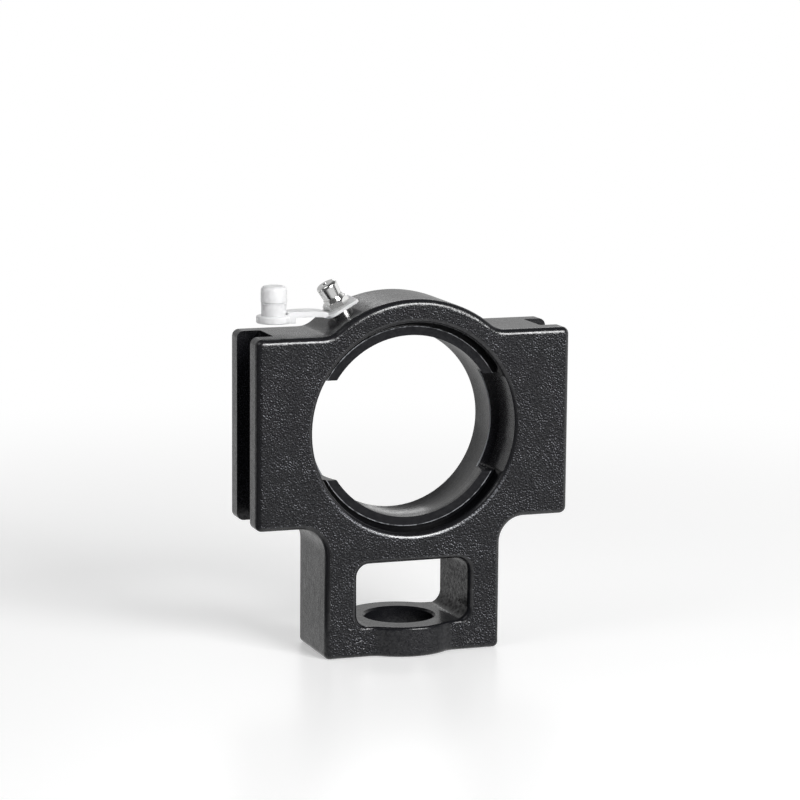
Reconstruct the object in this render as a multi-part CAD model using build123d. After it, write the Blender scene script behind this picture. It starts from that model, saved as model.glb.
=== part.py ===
# Take-up bearing housing: a cast-iron block that slides between two rails and holds a ball bearing
# in a spherical seat. A grease nipple with a tethered plastic dust cap sits on the ring.
#
# Sizes are in millimetres. The origin is the centre of the spherical seat. +X runs from guide to
# guide, +Y to the back and +Z from the adjusting-screw end towards the top of the ring.

import os
from math import acos, cos, radians, sin, sqrt

from build123d import *

# Body and guides
BODY_THICKNESS = 24.0
GUIDE_SPAN = 89.0  # width over both guides
GUIDE_LENGTH = 51.6
GUIDE_CORNER = 1.9
GROOVE_WIDTH = 12.0  # takes the edge of a rail
GROOVE_DEPTH = 6.5
GROOVE_CORNER = 0.6
EDGE_ROUND = 1.7  # rounding of the cast edges

# Spherical seat, its recesses and the ring round them, from the inside out
SEAT_RADIUS = 26.0
SEAT_WIDTH = 15.5
SEAT_LIP = 1.3  # how far the seat's flat end faces reach beyond its sphere
RELIEF_WIDTH = 1.3  # annular relief between the end faces and the recess wall
RELIEF_DEPTH = 1.2
RECESS_ROUND = 1.7
RING_WALL = 6.4  # from the recess to the outside of the ring
RING_BLEND = 6.5  # concave blend from the ring to the guides' upper ends

# Loading slots, through which the bearing goes in edgewise before it is turned square
SLOT_HEIGHT = 27.0
SLOT_STEP = 0.3  # how far the slots reach beyond the recess wall
SLOT_CORNER = 1.6

# End block with the window for the adjusting screw's nut
BLOCK_WIDTH = 50.0
BLOCK_BLEND = 7.0  # concave blend from the guides' lower ends to the block
BLOCK_CORNER = 1.5
WINDOW_ROOF = 7.8  # from the recess wall down to the window
WINDOW_WIDTH = 32.0
WINDOW_HEIGHT = 17.2
WINDOW_CORNER = 3.5
END_WALL = 8.4  # between the window and the end face
SCREW_HOLE_DIAMETER = 19.0
SCREW_HOLE_CHAMFER = 0.6
SCREW_BOSS_DIAMETER = 32.0
SCREW_BOSS_BLEND = 6.0  # concave, where the boss leaves the block's faces
SCREW_BOSS_ROUND = 0.8  # at the top; the lower edge is rounded as the block is

# Grease nipple, on a radial axis that leans towards the left guide
NIPPLE_GAP = 1.06  # along the ring, from the end of its blend to the plate
NIPPLE_STANDOFF = 1.35  # bare shank between the ring and the plate
THREAD_DIAMETER = 6.0
SHANK_LENGTH = 6.1  # below the hexagon
SHANK_CHAMFER = 0.4
THREAD_HOLE_SPARE = 1.0  # how much deeper the thread hole is than the shank
THREAD_CLEARANCE = 0.03  # radial
GREASE_DRILL_DIAMETER = 2.5
HEXAGON_FLATS = 6.4
HEXAGON_HEIGHT = 2.0
HEXAGON_CHAMFER = 0.45
HEXAGON_TURN = 43.0  # degrees, from a corner on the right-hand side
COLLAR_DIAMETER = 5.5
COLLAR_HEIGHT = 0.9
COLLAR_TAPER = 0.2
NECK_DIAMETER = 4.5
NECK_LENGTH = 0.45
HEAD_DIAMETER = 5.8
HEAD_ROOT_DIAMETER = 5.3
HEAD_LENGTH = 3.7
HEAD_ROUND = 0.9
MOUTH_DIAMETER = 1.2
MOUTH_LENGTH = 0.5
MOUTH_FLARE = 0.3
CHAMBER_CLEARANCE = 0.3  # radial, round the ball
CRIMP_LENGTH = 1.0
CRIMP_DIAMETER = 1.4

# Check ball and spring inside the nipple
BALL_DIAMETER = 2.0
BALL_CLEARANCE = 0.02
SPRING_WIRE = 0.25
SPRING_INSET = 0.1  # of the wire's centreline from the ball's radius
SPRING_TURNS = 9
SPRING_CLEARANCE = 0.03

# Dust cap, moulded in one with its strap and the plate under the hexagon
PLATE_MARGIN = 1.1  # how far the plate reaches beyond the hexagon's corners
PLATE_THICKNESS = 0.8
PLATE_CORNER = 1.0
PLATE_NECK_CORNER = 2.6  # at the strap's end
PLATE_CLEARANCE = 0.12  # radial, round the nipple's shank
STRAP_WIDTH = 6.2
STRAP_THICKNESS = 1.5
STRAP_INSET = 0.6  # from the plate's end to the start of the strap
STRAP_REACH = 14.2  # from there to the middle of the cap
STRAP_STEP = 0.3  # of the strap's centreline above the flange
STRAP_SLOPE = 15.0  # degrees, where the strap leaves the plate
CAP_RISE = 2.8  # of the cap's open rim above the guides
CAP_WALL = 0.6  # round the socket
CAP_FLANGE_STEP = 1.3  # how far the flange stands out from the skirt
CAP_FLANGE_HEIGHT = 1.9
CAP_TAB_STEP = 0.5  # how far the square tab stands out from the flange, towards the strap
CAP_TAB_RISE = 0.4  # of the tab above the flange
CAP_SKIRT_HEIGHT = 3.5
CAP_CROWN_STEP = 0.12  # how far the crown stands out from the skirt
CAP_CROWN_HEIGHT = 4.5
CAP_CROWN_ROUND = 1.3
CAP_SHOULDER_ROUND = 0.3
CAP_SOCKET_CLEARANCE = -0.1  # the soft socket grips the nipple's head
CAP_SOCKET_DEPTH = 6.0

# Places that follow from the sizes
HALF_THICKNESS = BODY_THICKNESS / 2
HALF_GUIDE = GUIDE_LENGTH / 2
HALF_SEAT = SEAT_WIDTH / 2
LIP_RADIUS = SEAT_RADIUS + SEAT_LIP
RECESS_RADIUS = LIP_RADIUS + RELIEF_WIDTH
RING_RADIUS = RECESS_RADIUS + RING_WALL
SLOT_RADIUS = RECESS_RADIUS + SLOT_STEP
WINDOW_CEILING_Z = -RECESS_RADIUS - WINDOW_ROOF
WINDOW_FLOOR_Z = WINDOW_CEILING_Z - WINDOW_HEIGHT
END_Z = WINDOW_FLOOR_Z - END_WALL
PLATE_SEAT = RING_RADIUS + NIPPLE_STANDOFF  # distance of the plate from the seat's centre
HEXAGON_SEAT = PLATE_SEAT + PLATE_THICKNESS
COLLAR_SEAT = HEXAGON_SEAT + HEXAGON_HEIGHT
HEAD_SEAT = COLLAR_SEAT + COLLAR_HEIGHT + NECK_LENGTH
HEAD_TOP = HEAD_SEAT + HEAD_LENGTH
MOUTH_INNER = HEAD_TOP - MOUTH_LENGTH
SHANK_END = HEXAGON_SEAT - SHANK_LENGTH
CHAMBER_FLOOR = SHANK_END + CRIMP_LENGTH
BALL_RADIUS = BALL_DIAMETER / 2
CHAMBER_RADIUS = BALL_RADIUS + CHAMBER_CLEARANCE
SPRING_RADIUS = BALL_RADIUS - SPRING_INSET
SHANK_RADIUS = THREAD_DIAMETER / 2 - THREAD_CLEARANCE
# The ball rests in a 45 degree cone that narrows from the chamber to the mouth
BALL_CENTRE = MOUTH_INNER + MOUTH_DIAMETER / 2 - sqrt(2) * (BALL_RADIUS + BALL_CLEARANCE)

PLATE_WIDTH = 2 * (HEXAGON_FLATS / sqrt(3) + PLATE_MARGIN)

# The plate ends beside the ring's blend, so the nipple's lean follows the guides' height
BLEND_LEAN = acos((HALF_GUIDE + RING_BLEND) / (RING_RADIUS + RING_BLEND))
NIPPLE_LEAN = BLEND_LEAN - (PLATE_WIDTH / 2 + NIPPLE_GAP) / RING_RADIUS
# Local x of this plane is tangent to the ring and local z is the nipple's axis, outwards
NIPPLE_PLANE = Plane(
    origin=(0, 0, 0),
    x_dir=(cos(NIPPLE_LEAN), 0, sin(NIPPLE_LEAN)),
    z_dir=(-sin(NIPPLE_LEAN), 0, cos(NIPPLE_LEAN)),
)
STRAP_START = NIPPLE_PLANE.from_local_coords(Vector(STRAP_INSET - PLATE_WIDTH / 2, 0, HEXAGON_SEAT))
CAP_X = STRAP_START.X - STRAP_REACH
CAP_BASE_Z = HALF_GUIDE + CAP_RISE
SOCKET_RADIUS = HEAD_DIAMETER / 2 + CAP_SOCKET_CLEARANCE
SKIRT_RADIUS = SOCKET_RADIUS + CAP_WALL
FLANGE_RADIUS = SKIRT_RADIUS + CAP_FLANGE_STEP


def turned(points, axis_plane=Plane.XY):
    """A solid of revolution: (radius, height) points turned round the plane's normal."""
    profile = Plane.XZ * make_face(Polyline(*points, close=True).edges())
    return axis_plane * revolve(profile, Axis.Z)


def inside_corners(shape, height):
    """Corners where the ring or the block meets the guides' ends at one height."""
    reach = GUIDE_SPAN / 2 - GUIDE_CORNER - 0.1
    return [
        vertex for vertex in shape.vertices()
        if abs(vertex.Y - height) < 0.01 and abs(vertex.X) < reach
    ]


def outline():
    """Front outline of the casting: ring, guides and end block, with the window left open."""
    guides = RectangleRounded(GUIDE_SPAN, GUIDE_LENGTH, GUIDE_CORNER)
    block = Rectangle(BLOCK_WIDTH, -END_Z, align=(Align.CENTER, Align.MAX))
    block = fillet(block.vertices().group_by(Axis.Y)[0], BLOCK_CORNER)
    base = guides + block
    base = fillet(inside_corners(base, -HALF_GUIDE), BLOCK_BLEND)
    shape = base + Circle(RING_RADIUS)
    shape = fillet(inside_corners(shape, HALF_GUIDE), RING_BLEND)
    window = RectangleRounded(WINDOW_WIDTH, WINDOW_HEIGHT, WINDOW_CORNER)
    return shape - Pos(0, (WINDOW_CEILING_Z + WINDOW_FLOOR_Z) / 2) * window


def cast_body():
    """The outline as a plate of even thickness, its cast edges rounded front and back."""
    plate = extrude(Plane.XZ * outline(), amount=HALF_THICKNESS, both=True)
    faces = plate.faces().sort_by(Axis.Y)
    return fillet(faces[0].edges() + faces[-1].edges(), EDGE_ROUND)


def screw_boss():
    """Round boss of the end wall, which stands out at the front and back and blends into the faces."""
    sill = Rectangle(WINDOW_WIDTH, BODY_THICKNESS)
    plan = sill + Circle(SCREW_BOSS_DIAMETER / 2)
    corners = [
        vertex for vertex in plan.vertices()
        if abs(abs(vertex.Y) - HALF_THICKNESS) < 0.01 and abs(vertex.X) < WINDOW_WIDTH / 2 - 0.1
    ]
    plan = fillet(corners, SCREW_BOSS_BLEND)
    boss = Pos(0, 0, END_Z) * extrude(plan, END_WALL)
    levels = boss.edges().group_by(Axis.Z)
    along = [edge for edge in levels[-1] if abs(edge.center().X) < WINDOW_WIDTH / 2 - 0.1]
    boss = fillet(along, SCREW_BOSS_ROUND)
    below = [
        edge for edge in boss.edges().group_by(Axis.Z)[0] if abs(edge.center().X) < WINDOW_WIDTH / 2 - 0.1
    ]
    return fillet(below, EDGE_ROUND)


def screw_hole():
    """Clearance hole for the adjusting screw, chamfered at both ends."""
    radius = SCREW_HOLE_DIAMETER / 2
    flare = SCREW_HOLE_CHAMFER
    top = WINDOW_FLOOR_Z
    return turned([
        (0, END_Z - flare), (radius + 2 * flare, END_Z - flare), (radius, END_Z + flare),
        (radius, top - flare), (radius + 2 * flare, top + flare), (0, top + flare),
    ])


def bore():
    """All that is turned out of the ring: two recesses, their reliefs and the spherical seat."""
    relief_y = HALF_SEAT - RELIEF_DEPTH
    half = Plane.XY * (
        Rectangle(RECESS_RADIUS, HALF_THICKNESS, align=Align.MIN)
        - Rectangle(RECESS_RADIUS, relief_y, align=Align.MIN)
        - Rectangle(LIP_RADIUS, HALF_SEAT, align=Align.MIN)
    )
    recess = revolve(half, Axis.Y)
    seat = Sphere(SEAT_RADIUS) & Rotation(90, 0, 0) * Cylinder(SEAT_RADIUS, SEAT_WIDTH)
    return recess + mirror(recess, Plane.XZ) + seat


def loading_slots():
    """Cut from the front face to the seat's centre that opens seat and recess at both sides."""
    slab = Box(
        2 * GUIDE_SPAN, HALF_THICKNESS, SLOT_HEIGHT,
        align=(Align.CENTER, Align.MAX, Align.CENTER),
    )
    drum = Rotation(90, 0, 0) * Cylinder(
        SLOT_RADIUS, HALF_THICKNESS, align=(Align.CENTER, Align.CENTER, Align.MIN)
    )
    return fillet((slab & drum).edges().filter_by(Axis.Y), SLOT_CORNER)


def guide_groove(side):
    """Groove for a rail along one guide; side is -1 for the left and 1 for the right."""
    groove = Box(
        GROOVE_DEPTH + GROOVE_WIDTH, GROOVE_WIDTH, 2 * GUIDE_LENGTH,
        align=(Align.MIN, Align.CENTER, Align.CENTER),
    )
    groove = fillet(groove.faces().sort_by(Axis.X)[0].edges().filter_by(Axis.Z), GROOVE_CORNER)
    placed = Pos(GUIDE_SPAN / 2 - GROOVE_DEPTH, 0, 0) * groove
    return placed if side > 0 else mirror(placed, Plane.YZ)


def nipple_hole():
    """Threaded hole for the nipple, carried on by a drilling that reaches the seat."""
    thread = THREAD_DIAMETER / 2
    drill = GREASE_DRILL_DIAMETER / 2
    thread_end = SHANK_END - THREAD_HOLE_SPARE
    inside = SEAT_RADIUS - GREASE_DRILL_DIAMETER
    return turned([
        (0, inside), (drill, inside), (drill, thread_end - thread + drill),
        (thread, thread_end), (thread, PLATE_SEAT), (0, PLATE_SEAT),
    ], NIPPLE_PLANE)


def round_recess_mouths(casting):
    """Round the front and back rims of the bearing recess."""
    rims = [
        edge for edge in casting.edges().filter_by(GeomType.CIRCLE)
        if abs(edge.radius - RECESS_RADIUS) < 0.01
        and abs(abs(edge.center().Y) - HALF_THICKNESS) < 0.01
    ]
    return fillet(rims, RECESS_ROUND)


def housing():
    """The whole casting with its machined seat, grooves and holes."""
    casting = round_recess_mouths(cast_body() - bore())
    casting = casting + screw_boss() - screw_hole() - loading_slots()
    casting = casting - guide_groove(-1) - guide_groove(1) - nipple_hole()
    return casting.solid()


def nipple_outside():
    """Turned outside of the nipple: shank, collar, neck and rounded head."""
    neck = NECK_DIAMETER / 2
    collar = COLLAR_DIAMETER / 2
    head = HEAD_DIAMETER / 2
    body = turned([
        (0, SHANK_END), (SHANK_RADIUS - SHANK_CHAMFER, SHANK_END),
        (SHANK_RADIUS, SHANK_END + SHANK_CHAMFER), (SHANK_RADIUS, COLLAR_SEAT),
        (collar + COLLAR_TAPER, COLLAR_SEAT), (collar, HEAD_SEAT - NECK_LENGTH),
        (neck, HEAD_SEAT - NECK_LENGTH), (neck, HEAD_SEAT),
        (HEAD_ROOT_DIAMETER / 2, HEAD_SEAT), (head, HEAD_TOP - HEAD_ROUND),
        (head, HEAD_TOP), (0, HEAD_TOP),
    ], NIPPLE_PLANE)
    rim = [
        edge for edge in body.edges().filter_by(GeomType.CIRCLE)
        if abs(NIPPLE_PLANE.to_local_coords(edge.center()).Z - HEAD_TOP) < 0.01
    ]
    return fillet(rim, HEAD_ROUND - 0.02)


def hexagon():
    """Spanner hexagon with its corners chamfered at the top and the bottom."""
    apothem = HEXAGON_FLATS / 2
    corner = HEXAGON_FLATS / sqrt(3)
    flat = corner - HEXAGON_CHAMFER
    section = RegularPolygon(apothem, 6, major_radius=False, rotation=HEXAGON_TURN)
    prism = NIPPLE_PLANE * Pos(0, 0, HEXAGON_SEAT) * extrude(section, HEXAGON_HEIGHT)
    envelope = turned([
        (0, HEXAGON_SEAT), (flat, HEXAGON_SEAT), (corner, HEXAGON_SEAT + HEXAGON_CHAMFER / 2),
        (corner, COLLAR_SEAT - HEXAGON_CHAMFER), (flat, COLLAR_SEAT), (0, COLLAR_SEAT),
    ], NIPPLE_PLANE)
    return prism & envelope


def nipple_passage():
    """Grease passage: crimped entry, ball chamber, 45 degree seat and flared mouth."""
    mouth = MOUTH_DIAMETER / 2
    crimp = CRIMP_DIAMETER / 2
    return turned([
        (0, SHANK_END - 1), (crimp, SHANK_END - 1), (crimp, CHAMBER_FLOOR),
        (CHAMBER_RADIUS, CHAMBER_FLOOR),
        (CHAMBER_RADIUS, MOUTH_INNER - CHAMBER_RADIUS + mouth), (mouth, MOUTH_INNER),
        (mouth, HEAD_TOP - MOUTH_FLARE), (mouth + 2 * MOUTH_FLARE, HEAD_TOP + MOUTH_FLARE),
        (0, HEAD_TOP + MOUTH_FLARE),
    ], NIPPLE_PLANE)


def grease_nipple():
    """Body of the grease nipple, with its hexagon and grease passage."""
    return (nipple_outside() + hexagon() - nipple_passage()).solid()


def nipple_ball():
    """Check ball that closes the nipple's mouth from inside."""
    return (NIPPLE_PLANE * Pos(0, 0, BALL_CENTRE) * Sphere(BALL_RADIUS)).solid()


def nipple_spring():
    """Coil spring between the crimped entry and the ball."""
    wire = SPRING_WIRE / 2
    reach = BALL_RADIUS + wire + SPRING_CLEARANCE
    top = BALL_CENTRE - sqrt(reach**2 - SPRING_RADIUS**2)
    bottom = CHAMBER_FLOOR + wire + SPRING_CLEARANCE
    path = Helix((top - bottom) / SPRING_TURNS, top - bottom, SPRING_RADIUS)
    section = Plane(origin=path @ 0, z_dir=path % 0) * Circle(wire)
    coil = sweep(section, path)
    return (NIPPLE_PLANE * Pos(0, 0, bottom) * coil).solid()


def cap_plate():
    """Plate with a hole, clamped under the nipple's hexagon; its corners at the strap are rounder."""
    plate = Rectangle(PLATE_WIDTH, PLATE_WIDTH)
    plate = fillet(plate.vertices().group_by(Axis.X)[0], PLATE_NECK_CORNER)
    plate = fillet(plate.vertices().group_by(Axis.X)[-1], PLATE_CORNER)
    face = plate - Circle(SHANK_RADIUS + PLATE_CLEARANCE)
    return NIPPLE_PLANE * Pos(0, 0, PLATE_SEAT) * extrude(face, PLATE_THICKNESS)


def cap_strap():
    """Strap that rises a little from the plate's end and runs level into the cap."""
    level = CAP_BASE_Z + CAP_FLANGE_HEIGHT + STRAP_STEP
    cap_wall = CAP_X + (SOCKET_RADIUS + SKIRT_RADIUS) / 2
    slope = radians(STRAP_SLOPE)
    path = Spline(
        [(STRAP_START.X, STRAP_START.Z), (cap_wall, level)],
        tangents=[(-cos(slope), sin(slope)), (-1, 0)],
    )
    band = trace(path, STRAP_THICKNESS)
    return extrude(Plane.XZ * band, amount=STRAP_WIDTH / 2, both=True)


def cap_shell():
    """Turned form of the cap: flange at the open rim, skirt and wider crown."""
    skirt_z = CAP_BASE_Z + CAP_FLANGE_HEIGHT
    crown_z = skirt_z + CAP_SKIRT_HEIGHT
    crown_radius = SKIRT_RADIUS + CAP_CROWN_STEP
    bottom = (Align.CENTER, Align.CENTER, Align.MIN)
    flange = Pos(0, 0, CAP_BASE_Z) * Cylinder(FLANGE_RADIUS, CAP_FLANGE_HEIGHT, align=bottom)
    skirt = Pos(0, 0, skirt_z) * Cylinder(SKIRT_RADIUS, CAP_SKIRT_HEIGHT, align=bottom)
    crown = Pos(0, 0, crown_z) * Cylinder(crown_radius, CAP_CROWN_HEIGHT, align=bottom)
    rims = crown.edges().filter_by(GeomType.CIRCLE).sort_by(Axis.Z)
    crown = fillet(rims[-1], CAP_CROWN_ROUND)
    crown = fillet(crown.edges().filter_by(GeomType.CIRCLE).sort_by(Axis.Z)[0], CAP_SHOULDER_ROUND)
    flange = fillet(flange.edges().filter_by(GeomType.CIRCLE), CAP_SHOULDER_ROUND)
    return Pos(CAP_X, 0, 0) * (flange + skirt + crown)


def cap_tab():
    """Square tab beside the flange, where the strap grows out of the cap."""
    return Pos(CAP_X, 0, CAP_BASE_Z) * Box(
        FLANGE_RADIUS + CAP_TAB_STEP, STRAP_WIDTH, CAP_FLANGE_HEIGHT + CAP_TAB_RISE,
        align=(Align.MIN, Align.CENTER, Align.MIN),
    )


def cap_socket():
    """Hollow of the cap, which pushes over the nipple's head."""
    return Pos(CAP_X, 0, CAP_BASE_Z) * Cylinder(
        SOCKET_RADIUS, CAP_SOCKET_DEPTH, align=(Align.CENTER, Align.CENTER, Align.MIN)
    )


def nipple_cap():
    """Dust cap, strap and plate as one moulding."""
    return (cap_plate() + cap_strap() + cap_shell() + cap_tab() - cap_socket()).solid()


def main():
    os.makedirs("parts", exist_ok=True)
    for build in (housing, grease_nipple, nipple_ball, nipple_spring, nipple_cap):
        export_step(build(), f"parts/{build.__name__}.step")


main()
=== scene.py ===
"""Looks of a take-up bearing housing: painted casting, plated grease nipple and plastic dust cap.

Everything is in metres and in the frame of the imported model: the origin is the centre of the
bearing seat, +X runs from the left guide to the right one, +Y to the back and +Z to the top.
"""

import logging
import math
from dataclasses import dataclass, field
from enum import Enum
from typing import Any

import bpy
from mathutils import Matrix, Vector


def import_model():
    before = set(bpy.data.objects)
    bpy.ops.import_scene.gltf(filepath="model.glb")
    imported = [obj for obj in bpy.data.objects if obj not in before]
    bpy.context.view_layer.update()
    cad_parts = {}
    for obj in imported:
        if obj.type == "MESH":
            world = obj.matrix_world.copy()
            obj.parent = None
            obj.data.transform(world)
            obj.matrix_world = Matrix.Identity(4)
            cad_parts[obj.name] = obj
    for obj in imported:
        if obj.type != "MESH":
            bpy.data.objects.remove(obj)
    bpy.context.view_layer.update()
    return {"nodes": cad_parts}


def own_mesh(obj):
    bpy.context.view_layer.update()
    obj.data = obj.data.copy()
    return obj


LOG = logging.getLogger("bearing_housing")
MILLIMETRE = 0.001
WHITE = (1.0, 1.0, 1.0, 1.0)
RISING = (0.0, 1.0)
FALLING = (1.0, 0.0)
Colour = tuple[float, float, float]
Range = tuple[float, float]
Socket = bpy.types.NodeSocket


class Operation(Enum):
    """Sums that a graph works out."""

    ABSOLUTE = "ABSOLUTE"
    MAXIMUM = "MAXIMUM"
    MULTIPLY = "MULTIPLY"
    MULTIPLY_ADD = "MULTIPLY_ADD"
    SUBTRACT = "SUBTRACT"


def rgba(colour: Colour) -> tuple[float, float, float, float]:
    """Gives a colour its opaque alpha."""
    return (*colour, 1.0)


def millimetres(*values: float) -> tuple[float, ...]:
    """Turns millimetres into metres."""
    return tuple(value * MILLIMETRE for value in values)


def beside(radius: float, steps: Range) -> Range:
    """Moves two steps out by a radius."""
    return tuple(radius + step for step in steps)


@dataclass(frozen=True)
class Band:
    """Two limits, and half the width of the slope at each."""

    low: float
    high: float
    soft: float

    def beside(self, radius: float) -> "Band":
        """Moves the limits out by a radius."""
        return Band(radius + self.low, radius + self.high, self.soft)


@dataclass(frozen=True)
class Mottle:
    """Cloudy change of a value: features in a metre, the noise that counts and the values there."""

    scale: float
    contrast: Range
    values: Range
    detail: float = 3.0


class NodeGraph:
    """The node tree of a material or a world, built with short calls."""

    def __init__(self, tree: bpy.types.NodeTree) -> None:
        """Empties a tree so that it can be built anew.

        Args:
            tree: Node tree of a material or of the world.
        """
        self.tree = tree
        tree.nodes.clear()

    def add(
        self, kind: str, inputs: dict[str | int, Any] | None = None, **settings: Any
    ) -> bpy.types.Node:
        """Adds a node, sets it up and feeds its inputs.

        Args:
            kind: Blender's name of the node type.
            inputs: Values or output sockets, by the name or number of the input.
            settings: Properties of the node itself.

        Returns:
            The new node.
        """
        node = self.tree.nodes.new(kind)
        for name, value in settings.items():
            setattr(node, name, value)
        for name, value in (inputs or {}).items():
            if isinstance(value, Socket):
                self.tree.links.new(value, node.inputs[name])
            else:
                node.inputs[name].default_value = value
        return node

    def math(self, operation: Operation, first: Any, second: Any = 0.0, third: Any = 0.0) -> Socket:
        """Works out one number from up to three values or sockets."""
        inputs = {0: first, 1: second, 2: third}
        return self.add("ShaderNodeMath", inputs, operation=operation.value).outputs[0]

    def product(self, first: Any, *others: Any) -> Socket:
        """Multiplies values or sockets.

        Args:
            first: The first factor.
            others: The other factors.

        Returns:
            The socket with their product.
        """
        for other in others:
            first = self.math(Operation.MULTIPLY, first, other)
        return first

    def larger(self, first: Any, second: Any) -> Socket:
        """Gives the larger of two numbers."""
        return self.math(Operation.MAXIMUM, first, second)

    def noise(self, vector: Any, scale: float, detail: float = 2.0, roughness: float = 0.5) -> Socket:
        """Gives smooth noise.

        Args:
            vector: Place at which the noise is read.
            scale: Number of its features in a metre.
            detail: Number of finer layers.
            roughness: Strength of the finer layers.

        Returns:
            The socket with the noise, from 0 to 1.
        """
        inputs = {"Vector": vector, "Scale": scale, "Detail": detail, "Roughness": roughness}
        return self.add("ShaderNodeTexNoise", inputs).outputs[0]

    def remap(self, value: Any, old: Range, new: Range) -> Socket:
        """Maps one range of numbers smoothly onto another, and holds it at the ends.

        Args:
            value: The number.
            old: Where the number starts and ends to count.
            new: What the result is there.

        Returns:
            The socket with the result.
        """
        inputs = {"Value": value, 1: old[0], 2: old[1], 3: new[0], 4: new[1]}
        return self.add("ShaderNodeMapRange", inputs, interpolation_type="SMOOTHSTEP").outputs[0]

    def band(self, value: Any, band: Band) -> Socket:
        """Finds where a value lies between two limits.

        Args:
            value: The number.
            band: The limits.

        Returns:
            The socket with 1 between the limits and 0 outside.
        """
        above = self.remap(value, (band.low - band.soft, band.low + band.soft), RISING)
        below = self.remap(value, (band.high - band.soft, band.high + band.soft), FALLING)
        return self.product(above, below)

    def mottle(self, place: Socket, mottle: Mottle) -> Socket:
        """Changes a value cloudily over a surface."""
        return self.remap(self.noise(place, mottle.scale, mottle.detail), mottle.contrast, mottle.values)

    def mix(self, factor: Any, first: Any, second: Any) -> Socket:
        """Mixes two colours by a factor."""
        inputs = {0: factor, 6: first, 7: second}
        return self.add("ShaderNodeMix", inputs, data_type="RGBA").outputs[2]

    def bump(self, height: Any, distance: float, strength: Any = 1.0, normal: Any = None) -> Socket:
        """Turns a height map into a surface normal.

        Args:
            height: Height from 0 to 1.
            distance: Depth of the relief in metres.
            strength: Share of the relief that shows.
            normal: Normal that this relief lies on.

        Returns:
            The socket with the new normal.
        """
        inputs = {"Height": height, "Distance": distance, "Strength": strength}
        if normal is not None:
            inputs["Normal"] = normal
        return self.add("ShaderNodeBump", inputs).outputs[0]

    def split(self, vector: Socket) -> tuple[Socket, Socket, Socket]:
        """Takes a vector apart."""
        outputs = self.add("ShaderNodeSeparateXYZ", {0: vector}).outputs
        return outputs["X"], outputs["Y"], outputs["Z"]

    def length(self, vector: Socket) -> Socket:
        """Gives the length of a vector."""
        return self.add("ShaderNodeVectorMath", {0: vector}, operation="LENGTH").outputs["Value"]


def new_material(name: str) -> tuple[bpy.types.Material, NodeGraph]:
    """Starts a material with an empty tree.

    Args:
        name: Name of the material.

    Returns:
        The material and its node graph.
    """
    material = bpy.data.materials.new(name)
    material.use_nodes = True
    return material, NodeGraph(material.node_tree)


@dataclass(frozen=True)
class Position:
    """Where a point of the casting lies, as sockets of a material's graph."""

    place: Socket
    x: Socket
    depth: Socket
    z: Socket
    radius: Socket
    sideways: Socket
    forwards: Socket

    @classmethod
    def of(cls, graph: NodeGraph) -> "Position":
        """Reads position and normal in the housing's own frame.

        Args:
            graph: The material's graph.

        Returns:
            Distances from the middle planes and the bore axis, and how far the surface faces each way.
        """
        coordinates = graph.add("ShaderNodeTexCoord").outputs
        place = coordinates["Object"]
        flat = graph.add("ShaderNodeVectorMath", {0: place, 1: (1, 0, 1)}, operation="MULTIPLY")
        x, y, z = graph.split(place)
        normal_x, normal_y, _ = graph.split(coordinates["Normal"])
        return cls(
            place=place,
            x=graph.math(Operation.ABSOLUTE, x),
            depth=graph.math(Operation.ABSOLUTE, y),
            z=z,
            radius=graph.length(flat.outputs[0]),
            sideways=graph.math(Operation.ABSOLUTE, normal_x),
            forwards=graph.math(Operation.ABSOLUTE, normal_y),
        )


@dataclass(frozen=True)
class Zones:
    """Places of the casting with a colour or gloss of their own, some with painted shade or painted
    highlights, as sockets that hold each one's share.
    """

    recess: Socket
    edge: Socket
    lip: Socket
    seat: Socket
    window: Socket
    slot: Socket


@dataclass(frozen=True)
class Skin:
    """Shares of the cast skin: the grain of the outer faces, the painted shade on its slopes turned from the
    light and its painted glints.
    """

    rough: Socket
    shaded_slope: Socket
    painted_glint: Socket


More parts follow.
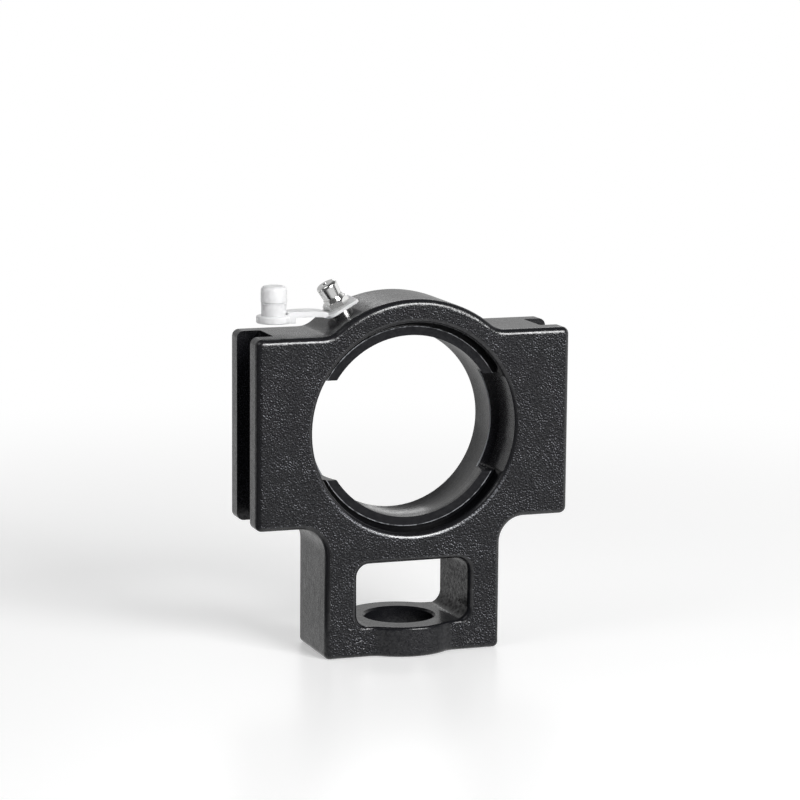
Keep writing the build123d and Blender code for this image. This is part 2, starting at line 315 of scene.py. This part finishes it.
@dataclass(frozen=True)
class CastPaint:
    """Black semi-gloss paint: grainy on the outer faces, smoother on the edges and in the bore, with painted
    glints and painted shade on the grain, painted shade in the recess and painted highlight lines at the
    seat's edges.
    """

    colour: Colour = (0.0085, 0.0087, 0.0105)
    # Painted shade: colour of the grain's slopes turned from the light and of the recess
    painted_shade_colour: Colour = (0.005, 0.005, 0.006)
    # Painted glints: colour of the grain's slopes towards the light and of the rim's glints
    painted_glint_colour: Colour = (0.250, 0.256, 0.280)
    slot_colour: Colour = (0.030, 0.0305, 0.033)
    # Painted highlight: colour of the light lines at the seat's edges
    edge_highlight_colour: Colour = (0.30, 0.31, 0.33)

    # The bore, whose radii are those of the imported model, with steps beside them
    seat_radius: float = 26.0 * MILLIMETRE
    lip_radius: float = 27.3 * MILLIMETRE
    recess_radius: float = 28.6 * MILLIMETRE
    ring_end: Range = millimetres(0.0, 0.1)
    seat_end: Range = millimetres(7.65, 7.74)
    recess_margins: Range = millimetres(0.05, 0.12)
    recess_soft: float = 0.03 * MILLIMETRE
    recess_depth: Band = Band(*millimetres(6.3, 11.0, 0.3))
    mouth: Range = millimetres(0.0, 0.3)

    # The floor of the loading slots, just outside the recess radius
    slot_ring: Band = Band(*millimetres(0.2, 0.45, 0.04))
    slot_facing: Range = (0.2, 0.4)
    slot_paint: Mottle = Mottle(900.0, (0.3, 0.6), (0.5, 1.0), 2.0)

    # Painted highlights: the light lines, one beside the lip radius and one beside the seat radius
    lip_edge_ring: Band = Band(*millimetres(-0.22, 0.02, 0.05))
    lip_edge_depth: Band = Band(*millimetres(7.6, 7.85, 0.05))
    lip_highlight_mottle: Mottle = Mottle(600.0, (0.35, 0.6), (0.15, 0.9), 2.0)
    slot_edge_ring: Band = Band(*millimetres(-0.05, 0.35, 0.08))
    slot_edge_depth: Range = millimetres(0.05, 0.15)
    slot_edge_facing: Range = (0.6, 0.9)
    slot_edge_share: float = 0.7

    # The outer faces, the screw boss and the window
    face_depth: Range = millimetres(11.0, 11.7)
    boss_depth: Range = millimetres(12.15, 12.6)
    boss_top: Range = millimetres(-54.0, -53.0)
    crease_across: Band = Band(*millimetres(13.5, 19.5, 1.0))
    crease_outside: Range = millimetres(11.4, 11.9)
    window_height: Band = Band(*millimetres(-54.5, -35.0, 0.5))
    window_half_width: Range = millimetres(17.0, 18.0)
    window_facing: Range = (0.3, 0.7)
    facing: Range = (0.90, 0.985)

    # Relief
    grain_scale: float = 1150.0
    grain_depth: float = 0.09 * MILLIMETRE
    swell_scale: float = 230.0
    swell_depth: float = 0.6 * MILLIMETRE
    swell_share: float = 0.3
    crease_scale: float = 420.0
    crease_depth: float = 0.9 * MILLIMETRE
    mark_scale: float = 1100.0
    mark_depth: float = 0.04 * MILLIMETRE
    smooth_share: float = 0.25
    side_share: float = 0.7
    bore_share: float = 0.12

    # Painted glints where the grain falls towards the lit side, and painted shade on the slopes turned from
    # it
    slope_grain_scale: float = 2400.0
    highlight_slope: Range = (0.125, 0.21)
    shade_slope: Range = (-0.14, 0.0)
    lit_side: Vector = field(default_factory=lambda: Vector((0.09, 0.0, 0.18)) * MILLIMETRE)
    patch: Mottle = Mottle(160.0, (0.35, 0.65), (0.30, 1.0))

    # Painted glints along the lower rim of the bore, beside the radius where its edge starts to round
    glint_start: float = 1.35 * MILLIMETRE
    glint_ring: Band = Band(*millimetres(-0.45, 0.2, 0.15))
    glint_depth: Range = millimetres(11.4, 11.8)
    glint_height: Range = millimetres(-8.0, -24.0)
    glint_slope: Range = (-0.06, 0.10)
    glint_share: float = 0.9

    # Gloss
    shine: Mottle = Mottle(1500.0, (0.36, 0.64), (0.28, 0.58))
    window_shine: Mottle = Mottle(750.0, (0.38, 0.62), (-0.86, -0.48))
    roughness: Mottle = Mottle(420.0, (0.3, 0.7), (0.17, 0.26))
    shade_slope_shine: float = 0.28
    recess_shine: float = 0.15
    lip_shine: float = 0.5
    seat_shine: float = 0.5
    rounding: Band = Band(0.72, 0.97, 0.02)
    rounding_shine: float = 0.40

    def material(self) -> bpy.types.Material:
        """Builds the paint.

        Returns:
            The finished material.
        """
        material, graph = new_material("black_cast_paint")
        spot = Position.of(graph)
        zones = self.zones(graph, spot)
        skin = self.skin(graph, spot)
        shader = graph.add("ShaderNodeBsdfPrincipled", {
            "Base Color": self.tone(graph, zones, skin),
            "Roughness": graph.mottle(spot.place, self.roughness),
            "Normal": self.relief(graph, spot, zones, skin),
            "Metallic": 0.0,
            "Specular IOR Level": self.specular(graph, spot, zones, skin),
        })
        graph.add("ShaderNodeOutputMaterial", {"Surface": shader.outputs[0]})
        return material

    def skin(self, graph: NodeGraph, spot: Position) -> Skin:
        """Finds the grain of the cast skin, with painted shade and painted glints on its slopes.

        Args:
            graph: The material's graph.
            spot: Position on the casting.

        Returns:
            Their shares.
        """
        front, rough = self.grain_share(graph, spot)
        slope = self.slope(graph, spot.place)
        patch = graph.mottle(spot.place, self.patch)
        # Painted glints where the grain slopes towards the light, in patches
        painted_glint = graph.product(front, graph.remap(slope, self.highlight_slope, RISING), patch)
        return Skin(
            rough=rough,
            # Painted shade where the grain slopes away from the light
            shaded_slope=graph.product(rough, graph.remap(slope, self.shade_slope, FALLING)),
            painted_glint=graph.larger(painted_glint, self.rim_glint(graph, spot, slope)),
        )

    def tone(self, graph: NodeGraph, zones: Zones, skin: Skin) -> Socket:
        """Mixes the colour, with painted shade, painted glints and painted highlight lines.

        Args:
            graph: The material's graph.
            zones: Shares of the places with a paint of their own.
            skin: Shares of the cast skin.

        Returns:
            The socket with the colour.
        """
        # Painted shade on the grain's slopes turned from the light, then painted glints
        tone = graph.mix(skin.shaded_slope, rgba(self.colour), rgba(self.painted_shade_colour))
        tone = graph.mix(skin.painted_glint, tone, rgba(self.painted_glint_colour))
        # Painted shade in the recess
        tone = graph.mix(zones.recess, tone, rgba(self.painted_shade_colour))
        tone = graph.mix(zones.slot, tone, rgba(self.slot_colour))
        # Painted highlight lines at the seat's edges
        return graph.mix(zones.edge, tone, rgba(self.edge_highlight_colour))

    def relief(self, graph: NodeGraph, spot: Position, zones: Zones, skin: Skin) -> Socket:
        """Lays the swells, the lumps at the boss, the grain and the turning marks over each other.

        Args:
            graph: The material's graph.
            spot: Position on the casting.
            zones: Shares of the places with a paint of their own.
            skin: Shares of the cast skin.

        Returns:
            The socket with the surface normal.
        """
        swell = graph.noise(spot.place, self.swell_scale)
        lumps = graph.noise(spot.place, self.crease_scale, detail=3.0)
        grain = graph.noise(spot.place, self.grain_scale)
        relief = graph.bump(swell, self.swell_depth, graph.product(skin.rough, self.swell_share))
        relief = graph.bump(lumps, self.crease_depth, self.boss_crease(graph, spot), relief)
        relief = graph.bump(grain, self.grain_depth, skin.rough, relief)
        return graph.bump(self.turning_marks(graph, spot), self.mark_depth, zones.seat, relief)

    def specular(self, graph: NodeGraph, spot: Position, zones: Zones, skin: Skin) -> Socket:
        """Works out how strongly the paint mirrors.

        Args:
            graph: The material's graph.
            spot: Position on the casting.
            zones: Shares of the places with a paint of their own.
            skin: Shares of the cast skin.

        Returns:
            The socket with the specular level.
        """
        dull = graph.mottle(spot.place, self.window_shine)
        rounding = graph.product(
            graph.band(spot.forwards, self.rounding), graph.remap(spot.z, self.boss_top, RISING)
        )
        level = graph.product(
            graph.mottle(spot.place, self.shine),
            graph.remap(skin.shaded_slope, RISING, (1.0, self.shade_slope_shine)),
            graph.remap(zones.recess, RISING, (1.0, self.recess_shine)),
            graph.math(Operation.MULTIPLY_ADD, zones.window, dull, 1.0),
            graph.remap(zones.lip, RISING, (1.0, self.lip_shine)),
        )
        level = graph.math(Operation.MULTIPLY_ADD, zones.seat, self.seat_shine, level)
        return graph.math(Operation.MULTIPLY_ADD, rounding, self.rounding_shine, level)

    def turning_marks(self, graph: NodeGraph, spot: Position) -> Socket:
        """Gives the height of the fine rings that the lathe left in the seat."""
        across = graph.add("ShaderNodeCombineXYZ", {"Y": spot.depth}).outputs[0]
        return graph.noise(across, self.mark_scale, detail=3.0, roughness=0.6)

    def slope(self, graph: NodeGraph, place: Socket) -> Socket:
        """Measures how far the grain falls towards the lit side, which is where it glints.

        Args:
            graph: The material's graph.
            place: Position on the object.

        Returns:
            Difference of the grain's height there and a little further, from -1 to 1.
        """
        further = graph.add("ShaderNodeVectorMath", {0: place, 1: self.lit_side}, operation="ADD")
        here, there = (graph.noise(spot, self.slope_grain_scale) for spot in (place, further.outputs[0]))
        return graph.math(Operation.SUBTRACT, here, there)

    def grain_share(self, graph: NodeGraph, spot: Position) -> tuple[Socket, Socket]:
        """Finds the flat outer faces outside the bore, where the cast skin is coarse.

        Args:
            graph: The material's graph.
            spot: Position on the casting.

        Returns:
            Strength of the grain on the front and back faces alone, and with that of the sides.
        """
        mouth = beside(self.recess_radius, self.mouth)
        outside = graph.remap(spot.radius, mouth, (self.bore_share, 1.0))
        front = graph.product(
            graph.remap(spot.forwards, self.facing, RISING),
            graph.remap(spot.depth, self.face_depth, RISING),
            graph.remap(spot.depth, self.boss_depth, (1.0, self.smooth_share)),
            outside,
        )
        side = graph.remap(spot.sideways, self.facing, (self.smooth_share, self.side_share))
        return front, graph.larger(front, graph.product(side, outside))

    def rim_glint(self, graph: NodeGraph, spot: Position, slope: Socket) -> Socket:
        """Finds the painted glints on the grain along the lower rim of the bore, where the edge starts to
        round.

        Args:
            graph: The material's graph.
            spot: Position on the casting.
            slope: How far the grain falls towards the lit side.

        Returns:
            Strength of the glint.
        """
        ring = self.glint_ring.beside(self.recess_radius + self.glint_start)
        return graph.product(
            graph.band(spot.radius, ring),
            graph.remap(spot.depth, self.glint_depth, RISING),
            graph.remap(spot.z, self.glint_height, (0.0, self.glint_share)),
            graph.remap(slope, self.glint_slope, RISING),
        )

    def boss_crease(self, graph: NodeGraph, spot: Position) -> Socket:
        """Finds the lumpy corners where the screw boss runs out into the front and back faces.

        Args:
            graph: The material's graph.
            spot: Position on the casting.

        Returns:
            Strength of the lumps.
        """
        return graph.product(
            graph.band(spot.x, self.crease_across),
            graph.remap(spot.z, self.boss_top[::-1], RISING),
            graph.remap(spot.depth, self.crease_outside, RISING),
        )

    def zones(self, graph: NodeGraph, spot: Position) -> Zones:
        """Finds the places with a colour or gloss of their own.

        Args:
            graph: The material's graph.
            spot: Position on the casting.

        Returns:
            Shares of the dull recess with its painted shade, the painted highlight lines at the edges, the
            lip's face, the smooth seat, the window's dull sides and the greyer floor of the loading slots.
        """
        inner, outer = self.recess_margins
        recess = Band(self.lip_radius + inner, self.recess_radius + outer, self.recess_soft)
        inside_lip = graph.remap(spot.radius, beside(self.lip_radius, self.ring_end), FALLING)
        inside_seat = graph.remap(spot.radius, beside(self.seat_radius, self.ring_end), FALLING)
        return Zones(
            # The recess gets painted shade
            recess=graph.product(graph.band(spot.radius, recess), graph.band(spot.depth, self.recess_depth)),
            # The edges get painted highlight lines
            edge=graph.larger(self.lip_highlight(graph, spot), self.slot_highlight(graph, spot)),
            lip=graph.product(inside_lip, graph.remap(spot.depth, self.seat_end, RISING)),
            seat=graph.product(inside_seat, graph.remap(spot.depth, self.seat_end, FALLING)),
            window=graph.product(
                graph.band(spot.z, self.window_height),
                graph.remap(spot.x, self.window_half_width, FALLING),
                graph.remap(spot.sideways, self.window_facing, RISING),
            ),
            slot=graph.product(
                graph.band(spot.radius, self.slot_ring.beside(self.recess_radius)),
                graph.remap(spot.forwards, self.slot_facing, FALLING),
                graph.mottle(spot.place, self.slot_paint),
            ),
        )

    def lip_highlight(self, graph: NodeGraph, spot: Position) -> Socket:
        """Finds the painted highlight line on the outer edge of the seat's end faces.

        Args:
            graph: The material's graph.
            spot: Position on the casting.

        Returns:
            Strength of the line.
        """
        return graph.product(
            graph.band(spot.radius, self.lip_edge_ring.beside(self.lip_radius)),
            graph.band(spot.depth, self.lip_edge_depth),
            graph.mottle(spot.place, self.lip_highlight_mottle),
        )

    def slot_highlight(self, graph: NodeGraph, spot: Position) -> Socket:
        """Finds the painted highlight line on the seat's edge at the inner ends of the loading slots.

        Args:
            graph: The material's graph.
            spot: Position on the casting.

        Returns:
            Strength of the line.
        """
        return graph.product(
            graph.band(spot.radius, self.slot_edge_ring.beside(self.seat_radius)),
            graph.remap(spot.depth, self.slot_edge_depth, (self.slot_edge_share, 0.0)),
            graph.remap(spot.forwards, self.slot_edge_facing, RISING),
        )


@dataclass(frozen=True)
class BrightMetal:
    """Plated or ground steel with a fine, slightly cloudy surface."""

    name: str
    colour: Colour
    roughness: Range
    shade: float = 0.9
    cloud_scale: float = 900.0
    contrast: Range = (0.35, 0.65)
    mark_scale: float = 9000.0
    mark_depth: float = 0.004 * MILLIMETRE

    def material(self) -> bpy.types.Material:
        """Builds the metal.

        Returns:
            The finished material.
        """
        material, graph = new_material(self.name)
        place = graph.add("ShaderNodeTexCoord").outputs["Object"]
        cloud = graph.noise(place, self.cloud_scale, detail=3.0)
        darker = tuple(self.shade * part for part in self.colour)
        shader = graph.add("ShaderNodeBsdfPrincipled", {
            "Base Color": graph.mix(cloud, rgba(self.colour), rgba(darker)),
            "Roughness": graph.remap(cloud, self.contrast, self.roughness),
            "Metallic": 1.0,
            "Normal": graph.bump(graph.noise(place, self.mark_scale), self.mark_depth),
        })
        graph.add("ShaderNodeOutputMaterial", {"Surface": shader.outputs[0]})
        return material


@dataclass(frozen=True)
class SoftPlastic:
    """Milky polyethylene that lets some light through."""

    colour: Colour = (0.95, 0.955, 0.97)
    roughness: Range = (0.30, 0.40)
    shade: float = 0.97
    cloud_scale: float = 500.0
    contrast: Range = (0.3, 0.7)
    milkiness: float = 0.6
    clearness: float = 0.2
    light_depth: float = 1.2 * MILLIMETRE
    skin_scale: float = 2500.0
    skin_depth: float = 0.01 * MILLIMETRE

    def material(self) -> bpy.types.Material:
        """Builds the plastic.

        Returns:
            The finished material.
        """
        material, graph = new_material("milky_plastic")
        place = graph.add("ShaderNodeTexCoord").outputs["Object"]
        cloud = graph.noise(place, self.cloud_scale)
        darker = tuple(self.shade * part for part in self.colour)
        shader = graph.add("ShaderNodeBsdfPrincipled", {
            "Base Color": graph.mix(cloud, rgba(self.colour), rgba(darker)),
            "Roughness": graph.remap(cloud, self.contrast, self.roughness),
            "Subsurface Weight": self.milkiness,
            "Subsurface Scale": self.light_depth,
            "Subsurface Radius": (1.0, 1.0, 1.0),
            "Transmission Weight": self.clearness,
            "Normal": graph.bump(graph.noise(place, self.skin_scale), self.skin_depth),
        })
        graph.add("ShaderNodeOutputMaterial", {"Surface": shader.outputs[0]})
        return material


def dress(node: bpy.types.Object, material: bpy.types.Material) -> None:
    """Gives a CAD node its finish.

    Args:
        node: The node's object.
        material: The finish, for all of its material slots.
    """
    if not node.material_slots:
        node.data.materials.append(material)
    for slot in node.material_slots:
        slot.material = material


@dataclass
class CastHousing:
    """The casting."""

    paint: CastPaint = field(default_factory=CastPaint)

    def build(self, nodes: dict[str, bpy.types.Object]) -> list[str]:
        """Dresses the casting.

        Args:
            nodes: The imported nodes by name.

        Returns:
            Names of the dressed pieces.
        """
        dress(nodes["housing"], self.paint.material())
        return ["housing"]


@dataclass
class GreaseNipple:
    """The nipple with its check ball and spring."""

    plating: BrightMetal = BrightMetal("zinc_plating", (0.86, 0.86, 0.85), (0.14, 0.20))
    steel: BrightMetal = BrightMetal("ball_steel", (0.62, 0.62, 0.64), (0.08, 0.16))
    outwards: Vector = field(default_factory=lambda: Vector((-0.489516, 0.0, 0.871995)))
    ball_travel: float = 0.86 * MILLIMETRE

    def build(self, nodes: dict[str, bpy.types.Object]) -> list[str]:
        """Dresses the nipple, the ball and the spring.

        Args:
            nodes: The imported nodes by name.

        Returns:
            Names of the dressed pieces.
        """
        dress(nodes["grease_nipple"], self.plating.material())
        steel = self.steel.material()
        dress(nodes["nipple_ball"], steel)
        dress(nodes["nipple_spring"], steel)
        self.shorten(nodes["nipple_spring"])
        return ["grease_nipple", "nipple_ball", "nipple_spring"]

    def shorten(self, spring: bpy.types.Object) -> None:
        """Gives the spring a mesh of its own.

        Args:
            spring: The spring.
        """
        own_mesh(spring)


@dataclass
class DustCap:
    """The dust cap with its strap and plate."""

    plastic: SoftPlastic = field(default_factory=SoftPlastic)

    def build(self, nodes: dict[str, bpy.types.Object]) -> list[str]:
        """Dresses the cap.

        Args:
            nodes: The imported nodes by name.

        Returns:
            Names of the dressed pieces.
        """
        dress(nodes["nipple_cap"], self.plastic.material())
        return ["nipple_cap"]


@dataclass(frozen=True)
class Softbox:
    """A rectangular studio lamp that faces the object."""

    name: str
    place: tuple[float, float, float]
    size: Range
    power: float

    def build(self) -> None:
        """Hangs the lamp in the scene."""
        place = Vector(self.place)
        data = bpy.data.lights.new(self.name, "AREA")
        data.shape = "RECTANGLE"
        data.size, data.size_y = self.size
        data.energy = self.power
        lamp = bpy.data.objects.new(self.name, data)
        lamp.location = place
        lamp.rotation_euler = (-place).to_track_quat("-Z", "Y").to_euler()
        bpy.context.scene.collection.objects.link(lamp)


@dataclass
class Floor:
    """Plain pale floor: white to the camera, with the object's shadow, and a grey card to mirrors."""

    height: float = -62.0 * MILLIMETRE
    size: float = 6.0
    colour: Colour = (0.8, 0.8, 0.8)
    roughness: float = 0.28
    specular: float = 0.35
    glow: float = 0.34
    fade: Range = (0.12, 0.42)
    mirrored_level: float = 0.70
    dark_corner: float = 0.15
    dark_corner_x: Range = (-0.085, -0.02)
    dark_corner_y: Range = (0.02, 0.10)

    def build(self) -> None:
        bpy.ops.mesh.primitive_plane_add(size=self.size, location=(0, 0, self.height))
        floor = bpy.context.object
        floor.name = "floor"
        floor.data.materials.append(self.material())

    def material(self) -> bpy.types.Material:
        """Builds the floor's paper.

        Returns:
            The finished material.
        """
        material, graph = new_material("floor_paper")
        path = graph.add("ShaderNodeLightPath").outputs
        seen = graph.larger(path["Is Camera Ray"], path["Is Transmission Ray"])
        place = graph.add("ShaderNodeTexCoord").outputs["Object"]
        far = graph.product(seen, graph.remap(graph.length(place), self.fade, RISING))
        paper = graph.add("ShaderNodeBsdfPrincipled", {
            "Base Color": rgba(self.colour), "Roughness": self.roughness,
            "Specular IOR Level": self.specular,
        })
        glow = self.emission(graph, graph.product(seen, self.glow))
        near = graph.add("ShaderNodeAddShader", {0: paper.outputs[0], 1: glow}).outputs[0]
        shown = self.either(graph, far, near, self.emission(graph, 1.0))
        card = self.emission(graph, self.card_level(graph, path["Is Glossy Ray"], place))
        surface = self.either(graph, path["Is Glossy Ray"], shown, card)
        graph.add("ShaderNodeOutputMaterial", {"Surface": surface})
        return material

    def emission(self, graph: NodeGraph, strength: Any) -> Socket:
        """Gives white light of some strength."""
        return graph.add("ShaderNodeEmission", {"Color": WHITE, "Strength": strength}).outputs[0]

    def either(self, graph: NodeGraph, factor: Socket, first: Socket, second: Socket) -> Socket:
        """Mixes two shaders by a factor."""
        return graph.add("ShaderNodeMixShader", {0: factor, 1: first, 2: second}).outputs[0]

    def card_level(self, graph: NodeGraph, glossy: Socket, place: Socket) -> Socket:
        """Works out how light the floor is in mirrors, which is less at the front left.

        Args:
            graph: The material's graph.
            glossy: Whether the ray comes from a mirror.
            place: Position on the floor.

        Returns:
            The socket with the level.
        """
        x, y, _ = graph.split(place)
        corner = graph.product(
            graph.remap(x, self.dark_corner_x, FALLING), graph.remap(y, self.dark_corner_y, FALLING)
        )
        lit = graph.remap(corner, RISING, (1.0, self.dark_corner))
        return graph.product(glossy, lit, self.mirrored_level)


@dataclass
class Surroundings:
    """World: white to the camera, soft grey as a light, and brighter at the back and right in mirrors."""

    backdrop_level: float = 0.42
    room_level: float = 0.10
    fill_level: float = 0.17
    behind: Range = (-0.05, 0.45)
    overhead: Range = (0.45, 0.85)
    overhead_level: float = 0.12
    right_x: Range = (0.52, 0.68)
    right_y: Range = (-0.35, -0.15)
    right_z: Range = (0.35, 0.55)

    def build(self, scene: bpy.types.Scene) -> None:
        """Makes the world.

        Args:
            scene: The scene that gets the world.
        """
        world = bpy.data.worlds.new("studio")
        world.use_nodes = True
        scene.world = world
        graph = NodeGraph(world.node_tree)
        path = graph.add("ShaderNodeLightPath").outputs
        x, y, z = graph.split(graph.add("ShaderNodeTexCoord").outputs["Generated"])
        backdrop = graph.product(
            graph.remap(y, self.behind, RISING), graph.remap(z, self.overhead, (1.0, self.overhead_level))
        )
        right = graph.product(
            path["Is Glossy Ray"],
            graph.remap(x, self.right_x, RISING),
            graph.remap(y, self.right_y, RISING),
            graph.remap(z, self.right_z, FALLING),
        )
        level = graph.math(Operation.MULTIPLY_ADD, backdrop, self.backdrop_level, self.room_level)
        level = graph.larger(level, graph.product(path["Is Diffuse Ray"], self.fill_level))
        level = graph.larger(level, right)
        level = graph.larger(graph.larger(path["Is Camera Ray"], path["Is Transmission Ray"]), level)
        background = graph.add("ShaderNodeBackground", {"Color": WHITE, "Strength": level})
        graph.add("ShaderNodeOutputWorld", {"Surface": background.outputs[0]})


@dataclass
class Viewpoint:
    """Camera at the photograph's viewing angle."""

    place: Vector = field(default_factory=lambda: Vector((-0.2862, -0.7915, 0.1471)))
    yaw: float = math.radians(19.87)
    pitch: float = math.radians(9.52)
    roll: float = math.radians(0.50)
    lens: float = 141.6
    sensor: float = 36.0
    nearest: float = 0.05

    def build(self, scene: bpy.types.Scene) -> None:
        """Puts the camera where the photograph was taken from.

        Args:
            scene: The scene that gets the camera.
        """
        level_share, down_share = math.cos(self.pitch), math.sin(self.pitch)
        ahead = Vector((math.sin(self.yaw) * level_share, math.cos(self.yaw) * level_share, -down_share))
        level = Vector((math.cos(self.yaw), -math.sin(self.yaw), 0))
        above = level.cross(ahead)
        right = math.cos(self.roll) * level + math.sin(self.roll) * above
        up = math.cos(self.roll) * above - math.sin(self.roll) * level
        turn = Matrix((right, up, -ahead)).transposed()
        data = bpy.data.cameras.new("camera")
        data.lens = self.lens
        data.sensor_width = self.sensor
        data.clip_start = self.nearest
        camera = bpy.data.objects.new("camera", data)
        camera.matrix_world = Matrix.Translation(self.place) @ turn.to_4x4()
        scene.collection.objects.link(camera)
        scene.camera = camera


@dataclass
class Studio:
    """Floor, world, lamps and camera."""

    floor: Floor = field(default_factory=Floor)
    surroundings: Surroundings = field(default_factory=Surroundings)
    viewpoint: Viewpoint = field(default_factory=Viewpoint)
    lamps: tuple[Softbox, ...] = (
        Softbox("front_softbox", (0.42, -1.05, 0.52), (0.60, 0.70), 17.0),
        Softbox("left_softbox", (-0.70, -0.20, 0.75), (0.5, 0.5), 1.5),
        Softbox("rear_softbox", (0.36, 0.88, 0.46), (0.45, 0.22), 0.6),
    )

    def build(self) -> None:
        """Sets up the whole studio."""
        scene = bpy.context.scene
        scene.view_settings.view_transform = "Standard"
        self.floor.build()
        self.surroundings.build(scene)
        for lamp in self.lamps:
            lamp.build()
        self.viewpoint.build(scene)


def main() -> None:
    """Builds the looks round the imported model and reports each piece."""
    logging.basicConfig(level=logging.INFO, format="%(name)s: %(message)s")
    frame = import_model()
    bpy.ops.object.select_all(action="DESELECT")
    for part in (CastHousing(), GreaseNipple(), DustCap()):
        for name in part.build(frame["nodes"]):
            LOG.info("dressed %s", name)
    Studio().build()


if __name__ == "__main__":
    main()
